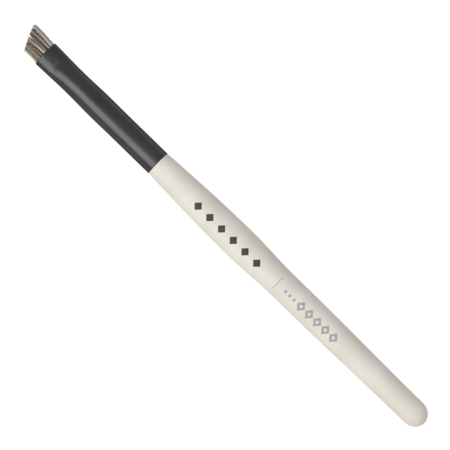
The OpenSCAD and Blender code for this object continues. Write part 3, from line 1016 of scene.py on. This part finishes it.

# %% [markdown]
# Bristle is horn-like: a soft shine along each strand, and no two strands quite the same. The
# split tips all turn to the same warm taupe, so the streaks are strongest near the ferrule. A
# painted shade of the ferrule's lip darkens the bound roots, and only them. The narrow sides get
# a pale tint that is partly painted light, with a painted glow that grows towards the tip. The
# tree stored how pale a strand is, how far along it each point is, which points are away from the
# root and how much of a pale side it has, and the finish reads all four. Each tone runs from a
# darker to a lighter colour between two shades.

# %% Bristle finishes
BRISTLE_COLOURS = {
    "packed": ("3E342F", "5D4F46", 0.0, 1.0),
    "dark": ("2C231F", "6A5A50", 0.0, MID_FROM),
    "mid": ("7E7066", "ADA094", MID_FROM, PALE_FROM),
    "pale": ("D2C9BD", "FFFBF4", PALE_FROM, 1.1),
}
STREAK_SHARE = 0.25
TIP_COLOUR = colour("A08C7D")
TIP_ALONG = (0.45, 0.9)
TIP_SHARE = 0.6
# Pale narrow sides, partly painted light, with a painted glow towards the tip.
SIDE_PALE_AND_GLOW = colour("D2CDC0")
SIDE_ALONG = (0.5, 1.0)
SIDE_SHARE = 0.6
SIDE_GLOW_AT_TIP = 0.3
# A painted shade of the ferrule's lip, which falls only on the bound roots.
ROOT_SHADE_COLOUR = colour("2E2622")
ROOT_SHADE_OUT = (0.2, 0.5)
ROOT_SHADE_SHARE = 0.8
BRISTLE_ROUGH = (0.34, 0.5)
BRISTLE_RELIEF = 0.002 * MM


def bristle_finish(tone):
    """The finish of one tone's strands, from what the tree stored on them."""
    finish = Finish("bristle_" + tone, Specular_IOR_Level=0.45)
    shade, along, out, side = [
        finish.node("ShaderNodeAttribute", {"attribute_name": name}, out="Fac")
        for name in ("shade", "along", "out", "side")
    ]
    dark, light, dark_shade, light_shade = BRISTLE_COLOURS[tone]
    base = finish.tint(finish.step(shade, dark_shade, light_shade), colour(dark), colour(light))
    streak = finish.noise(0.25 * MM, stretch=(6, 1, 1))
    base = finish.tint(streak * STREAK_SHARE, base, colour(light))
    base = finish.tint(finish.step(along, *TIP_ALONG) * TIP_SHARE, base, TIP_COLOUR)
    # Painted light on the narrow sides: a pale tint, and a painted glow that grows towards the tip.
    pale_side_glow = side * (finish.step(along, *SIDE_ALONG) * SIDE_GLOW_AT_TIP + SIDE_SHARE)
    base = finish.tint(pale_side_glow, base, SIDE_PALE_AND_GLOW)
    # Painted shade of the ferrule's lip: as out is worked out, it only darkens the bound roots.
    bound = (1 - finish.step(out, *ROOT_SHADE_OUT)) * (1 - side) * ROOT_SHADE_SHARE
    base = finish.tint(bound, base, ROOT_SHADE_COLOUR)
    finish.feed("Base Color", base)
    finish.feed("Roughness", finish.blend(streak, *BRISTLE_ROUGH))
    finish.bump(finish.noise(0.06 * MM, stretch=(3, 1, 1)), BRISTLE_RELIEF)
    return finish.material


tuft_pieces = {}
for number, tone in enumerate(TONES):
    values = {
        "Half Width": TUFT_HALF_W,
        "Half Thickness": TUFT_HALF_T,
        "Spacing": HAIR_SPACING,
        "Seed": TUFT_SEED,
        "Wanted Tone": number,
        "Finish": bristle_finish(tone),
    }
    tuft_pieces[tone] = run_tree(tuft_graph, tone + "_hairs", values)
    print(tone, "hairs:", len(tuft_pieces[tone].data.polygons) // FACES_PER_HAIR)

# %% [markdown]
# ## The printed ornament
#
# The handle carries pad-printed decoration in two inks: a row of dark lozenges on the belly, a
# fine grey hairline across, and behind it three small grey lozenges and a row of open ones.
# Print is a skin of ink a few hundredths of a millimetre thick that follows whatever it is
# printed on. The tree therefore lays a flat shape out in a row, casts each of its points
# straight down on to the handle, and then gives the skin its thickness as a closed shell.

# %% Ornament tree
INK_ABOVE = 0.02 * MM
INK_BELOW = 0.03 * MM
INK_MERGE = 0.0005 * MM
SHAPE_CELLS = 10
CAST_FROM = 20 * MM
CAST_LENGTH = 1.0


def flat_shape(graph, given):
    """A square of many small faces, opened, turned and stretched as the inputs say."""
    node = graph.node
    points = SHAPE_CELLS + 1
    grid = {"Size X": 1.0, "Size Y": 1.0, "Vertices X": points, "Vertices Y": points}
    sheet = node("GeometryNodeMeshGrid", values=grid)
    x, y = graph.split(node("GeometryNodeInputPosition"))[:2]
    hole = {"Geometry": sheet, "Selection": abs(x).high(abs(y)) < given["Opening"] / 2}
    opened = node("GeometryNodeDeleteGeometry", {"domain": "FACE", "mode": "ALL"}, hole)
    turning = {"Geometry": opened, "Rotation": graph.join(0, 0, given["Turn"])}
    turned = node("GeometryNodeTransform", values=turning)
    size = graph.join(given["Length"], given["Breadth"], 1)
    return node("GeometryNodeTransform", values={"Geometry": turned, "Scale": size})


def cast_down(graph, given, shapes):
    """The shapes, just under the surface of the handle."""
    node = graph.node
    surface = node("GeometryNodeObjectInfo", values={"Object": given["Handle"]}, out="Geometry")
    ray = {"Target Geometry": surface, "Ray Direction": (0, 0, -1), "Ray Length": CAST_LENGTH}
    hit = node("GeometryNodeRaycast", values=ray, out="Hit Position")
    sunk = {"Geometry": shapes, "Position": hit, "Offset": (0, 0, -INK_BELOW)}
    return node("GeometryNodeSetPosition", values=sunk)


def ink_shell(graph, skin):
    """A closed shell from the skin: its faces lifted, and the same faces turned over below."""
    node = graph.node
    up = {"Offset": (0, 0, 1), "Offset Scale": INK_ABOVE + INK_BELOW, "Individual": False}
    lifted = node("GeometryNodeExtrudeMesh", {"mode": "FACES"}, {"Mesh": skin, **up})
    under = node("GeometryNodeFlipFaces", values={"Mesh": skin})
    both = node("GeometryNodeJoinGeometry", values={"Geometry": lifted})
    graph.tree.links.new(under.socket, both.socket.node.inputs["Geometry"])
    return node("GeometryNodeMergeByDistance", values={"Geometry": both, "Distance": INK_MERGE})


def build_ornament_tree():
    """A row of one shape, cast on to the handle and made into shells of ink."""
    names = ("First X", "Pitch", "Middle Y", "Length", "Breadth", "Turn", "Opening")
    inputs = {"Handle": "NodeSocketObject", "Count": int, **dict.fromkeys(names, float)}
    graph, given = new_tree("ornament", {**inputs, "Finish": "NodeSocketMaterial"})
    line = {
        "Count": given["Count"],
        "Start Location": graph.join(given["First X"], given["Middle Y"], CAST_FROM),
        "Offset": graph.join(given["Pitch"], 0, 0),
    }
    row = plant(graph, graph.node("GeometryNodeMeshLine", values=line), flat_shape(graph, given))
    end_tree(graph, ink_shell(graph, cast_down(graph, given, row)), given["Finish"])
    return graph


ornament_graph = build_ornament_tree()
print("nodes in the ornament's tree:", len(ornament_graph.tree.nodes))

# %% [markdown]
# A printing pad leaves its ink slightly uneven, so each ink thins to a second, paler colour in
# small patches. Both inks are matt and a little rougher where they are thin.

# %% Inks
INK_COVER = (0.45, 0.8)
INK_ROUGH = (0.45, 0.6)


def ink_finish(name, text, thin_text):
    """One ink, with its full colour and its thin one."""
    finish = Finish(name, Specular_IOR_Level=0.4)
    cover = finish.noise(0.35 * MM, detail=3)
    thin = finish.step(cover, *INK_COVER)
    finish.feed("Base Color", finish.tint(thin, colour(text), colour(thin_text)))
    finish.feed("Roughness", finish.blend(cover, *INK_ROUGH))
    return finish.material


dark_ink = ink_finish("dark_ink", "3A3A39", "484745")
grey_ink = ink_finish("grey_ink", "A6A8A4", "B4B5B0")
print("inks are ready")

# %% [markdown]
# A lozenge is a square that stands on its corner, so its side is its diagonal divided by the
# root of two. The hairline is the same square, not turned but stretched to a thin bar. One
# function therefore prints every row, and each row says only where it differs.

# %% Print the ornament
LOZENGE_TURN = math.pi / 4
DIAGONAL = math.sqrt(2)


def print_row(name, ink, count, first, middle, size, pitch=1.0, turn=LOZENGE_TURN, opening=0.0):
    """A row of lozenges, or of bars where turn is 0. Places and sizes are in millimetres."""
    shrink = DIAGONAL if turn else 1.0
    values = {
        "Handle": turned_handle,
        "Count": count,
        "First X": first * MM,
        "Pitch": pitch * MM,
        "Middle Y": middle * MM,
        "Length": size[0] / shrink * MM,
        "Breadth": size[1] / shrink * MM,
        "Turn": turn,
        "Opening": opening,
        "Finish": ink,
    }
    piece = run_tree(ornament_graph, name, values)
    print(name, "faces:", len(piece.data.polygons))
    return piece


ornament_pieces = [
    print_row("dark_lozenges", dark_ink, 6, first=9.9, middle=0.72, size=(2.8, 2.9), pitch=-4.65),
    print_row("ornament_hairline", grey_ink, 1, first=-21.55, middle=0.5, size=(0.19, 4.3), turn=0.0),
    print_row("small_lozenges", grey_ink, 3, first=-24.9, middle=0.8, size=(1.0, 1.2), pitch=-1.7),
    print_row(
        "open_lozenges", grey_ink, 5, first=-31.0, middle=0.74, size=(2.9, 3.3), pitch=-3.2, opening=0.4
    ),
]

# %% [markdown]
# ## Hidden pieces
#
# The glue round the tenon, the epoxy in the ferrule and the thread that binds the roots never
# show on a whole brush, but somebody who takes it apart sees them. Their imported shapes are
# right as they are, so they only get finishes: clouded yellow glue, amber epoxy with small
# bubbles, and a twisted thread.

# %% Wood glue
GLUE_RELIEF = 0.01 * MM

glue = Finish("wood_glue", Roughness=0.45)
cloudy = glue.noise(1.2 * MM, detail=3)
clouds = glue.step(cloudy, *MIDDLE_OF_NOISE)
glue.feed("Base Color", glue.tint(clouds, colour("D9C79A"), colour("E9DFC2")))
glue.bump(cloudy, GLUE_RELIEF)
print("wood glue is ready")

# %% Amber epoxy
BUBBLE_SIZE = 0.5 * MM
BUBBLE_DEPTH = 0.02 * MM
BUBBLE_HAZE = (0.0, 0.3)
BUBBLE_DENT = (0.0, 0.25)
EPOXY_ROUGH = (0.5, 0.16)

epoxy = Finish("amber_epoxy")
amber = epoxy.step(epoxy.noise(2 * MM, detail=2), *MOST_OF_NOISE)
epoxy.feed("Base Color", epoxy.tint(amber, colour("B98A3E"), colour("D2A85C")))
cells = {"Vector": epoxy.place, "Scale": 1 / BUBBLE_SIZE}
bubbles = epoxy.node("ShaderNodeTexVoronoi", values=cells)
epoxy.feed("Roughness", epoxy.blend(epoxy.step(bubbles, *BUBBLE_HAZE), *EPOXY_ROUGH))
epoxy.bump(epoxy.step(bubbles, *BUBBLE_DENT), BUBBLE_DEPTH)
print("amber epoxy is ready")

# %% Binding thread
PLY_SIZE = 0.9 * MM
PLY_DEPTH = 0.02 * MM

thread = Finish("binding_thread_cotton", Roughness=0.85)
twist = {"Vector": thread.place, "Scale": 1 / PLY_SIZE, "Distortion": 1.5}
bands = {"wave_type": "BANDS", "bands_direction": "DIAGONAL"}
ply = thread.node("ShaderNodeTexWave", bands, twist, out="Fac")
thread.feed("Base Color", thread.tint(ply, colour("CFC8B8"), colour("EDE8DC")))
thread.bump(ply, PLY_DEPTH)
print("binding thread is ready")

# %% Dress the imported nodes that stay
for node_name, finish in (("tenon_glue", glue), ("epoxy_plug", epoxy), ("binding_thread", thread)):
    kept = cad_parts[node_name]
    for place in kept.material_slots:
        place.material = finish.material
    print(node_name, "keeps its packed shape, slots:", len(kept.material_slots))

# %% [markdown]
# ## Hand over
#
# Every piece made here rides on the one body of the brush, and the imported nodes that it
# stands for are hidden. The material slot that its finish belongs to is only printed.

# %% Ride and hide the replaced nodes
def hand_over(piece, slot, *replaced):
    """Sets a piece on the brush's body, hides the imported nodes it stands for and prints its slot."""
    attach(piece, "root")
    if replaced:
        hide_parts(*replaced)
    print(piece.name, "is in slot", slot)


hand_over(turned_handle, "handle_lacquer", "handle")
hand_over(pressed_ferrule, "ferrule_metal", "ferrule")
for tone, node_name in TONES.items():
    hand_over(tuft_pieces[tone], tone + "_bristle", node_name)
for piece in ornament_pieces:
    hand_over(piece, "handle_lacquer")
